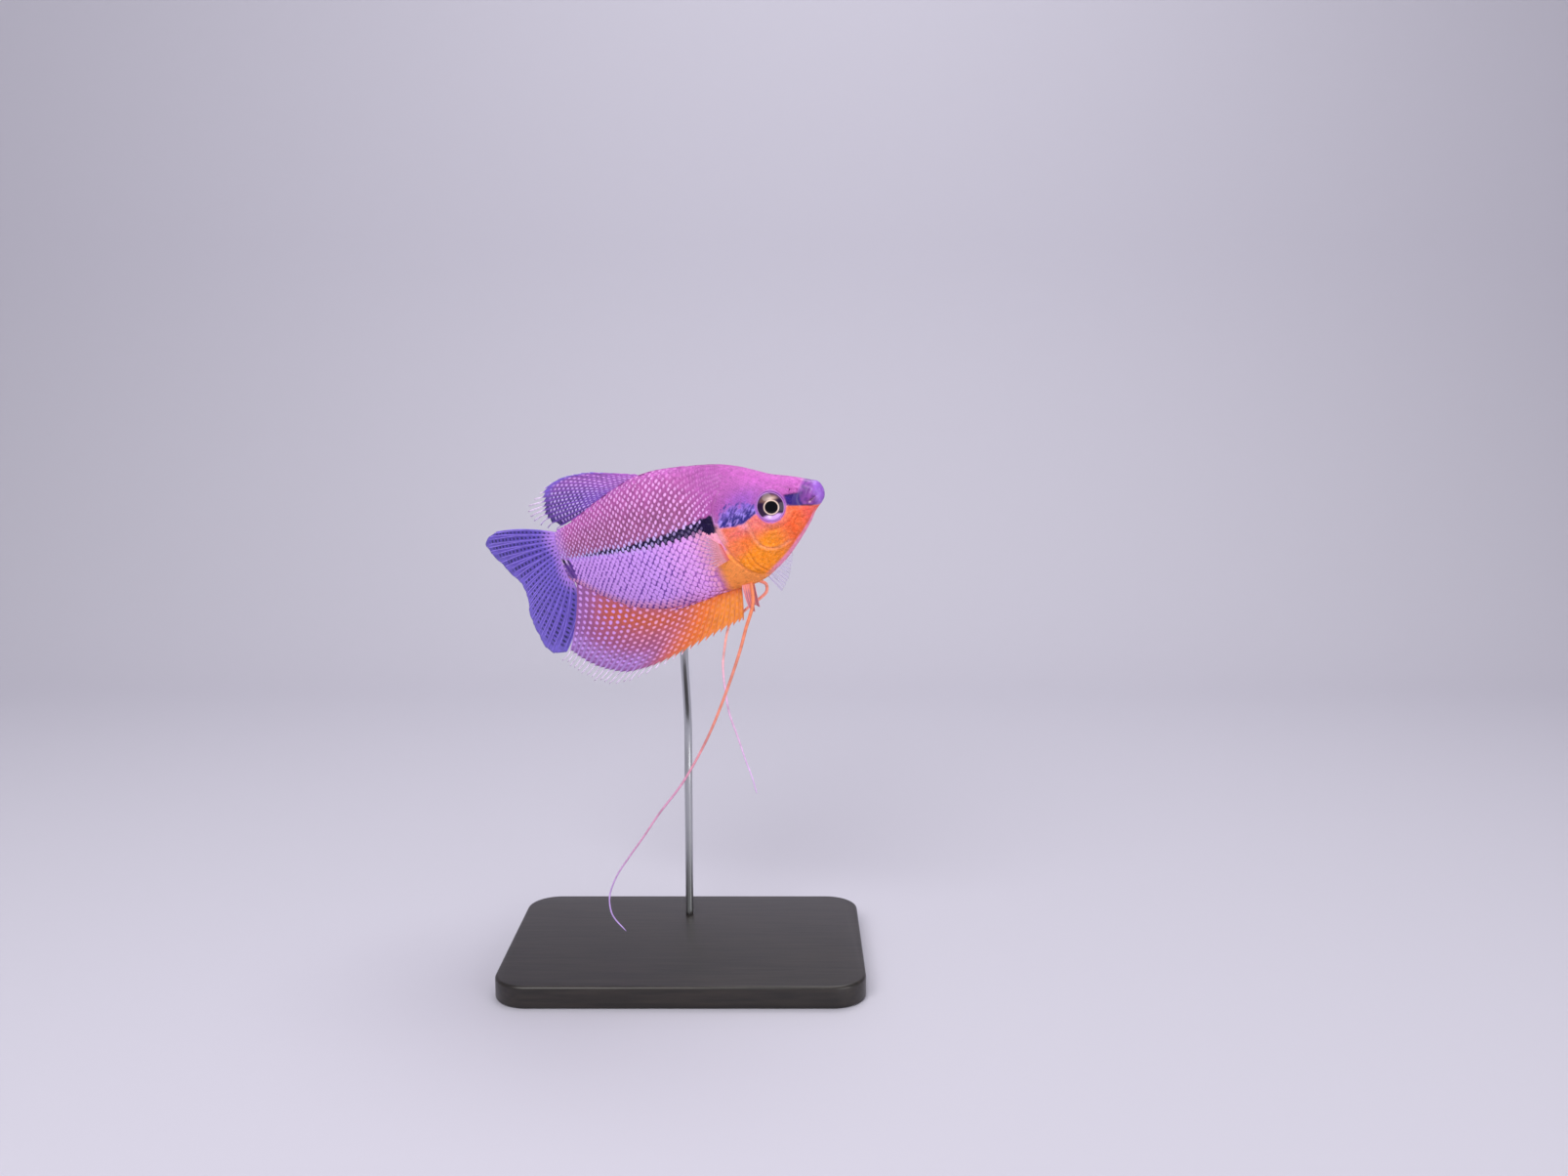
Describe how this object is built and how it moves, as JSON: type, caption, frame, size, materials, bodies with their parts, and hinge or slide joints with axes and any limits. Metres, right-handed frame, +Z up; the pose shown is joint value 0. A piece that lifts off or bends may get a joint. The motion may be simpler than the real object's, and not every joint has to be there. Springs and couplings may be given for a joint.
{
  "type": "pearl gourami display model",
  "caption": "Life-size adult male pearl gourami, still and swimming, nose up with its tail bent away, held over a flat base by one rod.",
  "frame": {"origin": "centre of the underside of the stand's base", "axes": "+Z up, the fish heads along +X, and its right side, which the picture shows, faces -Y"},
  "size_m": [0.1077, 0.0677, 0.1368],
  "materials": {
    "head_skin": "scaled skin, smooth and slightly wet",
    "trunk_skin": "scaled skin, smooth and slightly wet",
    "tail_skin": "scaled skin, smooth and slightly wet",
    "dorsal_membrane": "thin spotted membrane over bony rays",
    "anal_membrane": "thin spotted membrane over bony rays",
    "tail_membrane": "thin spotted membrane over bony rays",
    "pectoral_membrane": "clear membrane over fine rays",
    "feeler_right": "smooth single ray",
    "feeler_left": "smooth single ray",
    "eye": "wet and clear",
    "base_wood": "black stained, satin",
    "rod_steel": "satin"
  },
  "bodies": {
    "root": {"head": "head_skin", "trunk": "trunk_skin", "tail_stalk": "tail_skin", "dorsal_fin": "dorsal_membrane", "anal_fin": "anal_membrane", "tail_fin": "tail_membrane", "pectoral_fin_right": "pectoral_membrane", "pectoral_fin_left": "pectoral_membrane", "pelvic_fin_right": "feeler_right", "pelvic_fin_left": "feeler_left", "eye_right": "eye", "eye_left": "eye", "stand_base": "base_wood", "stand_rod": "rod_steel"}
  },
  "joints": []
}
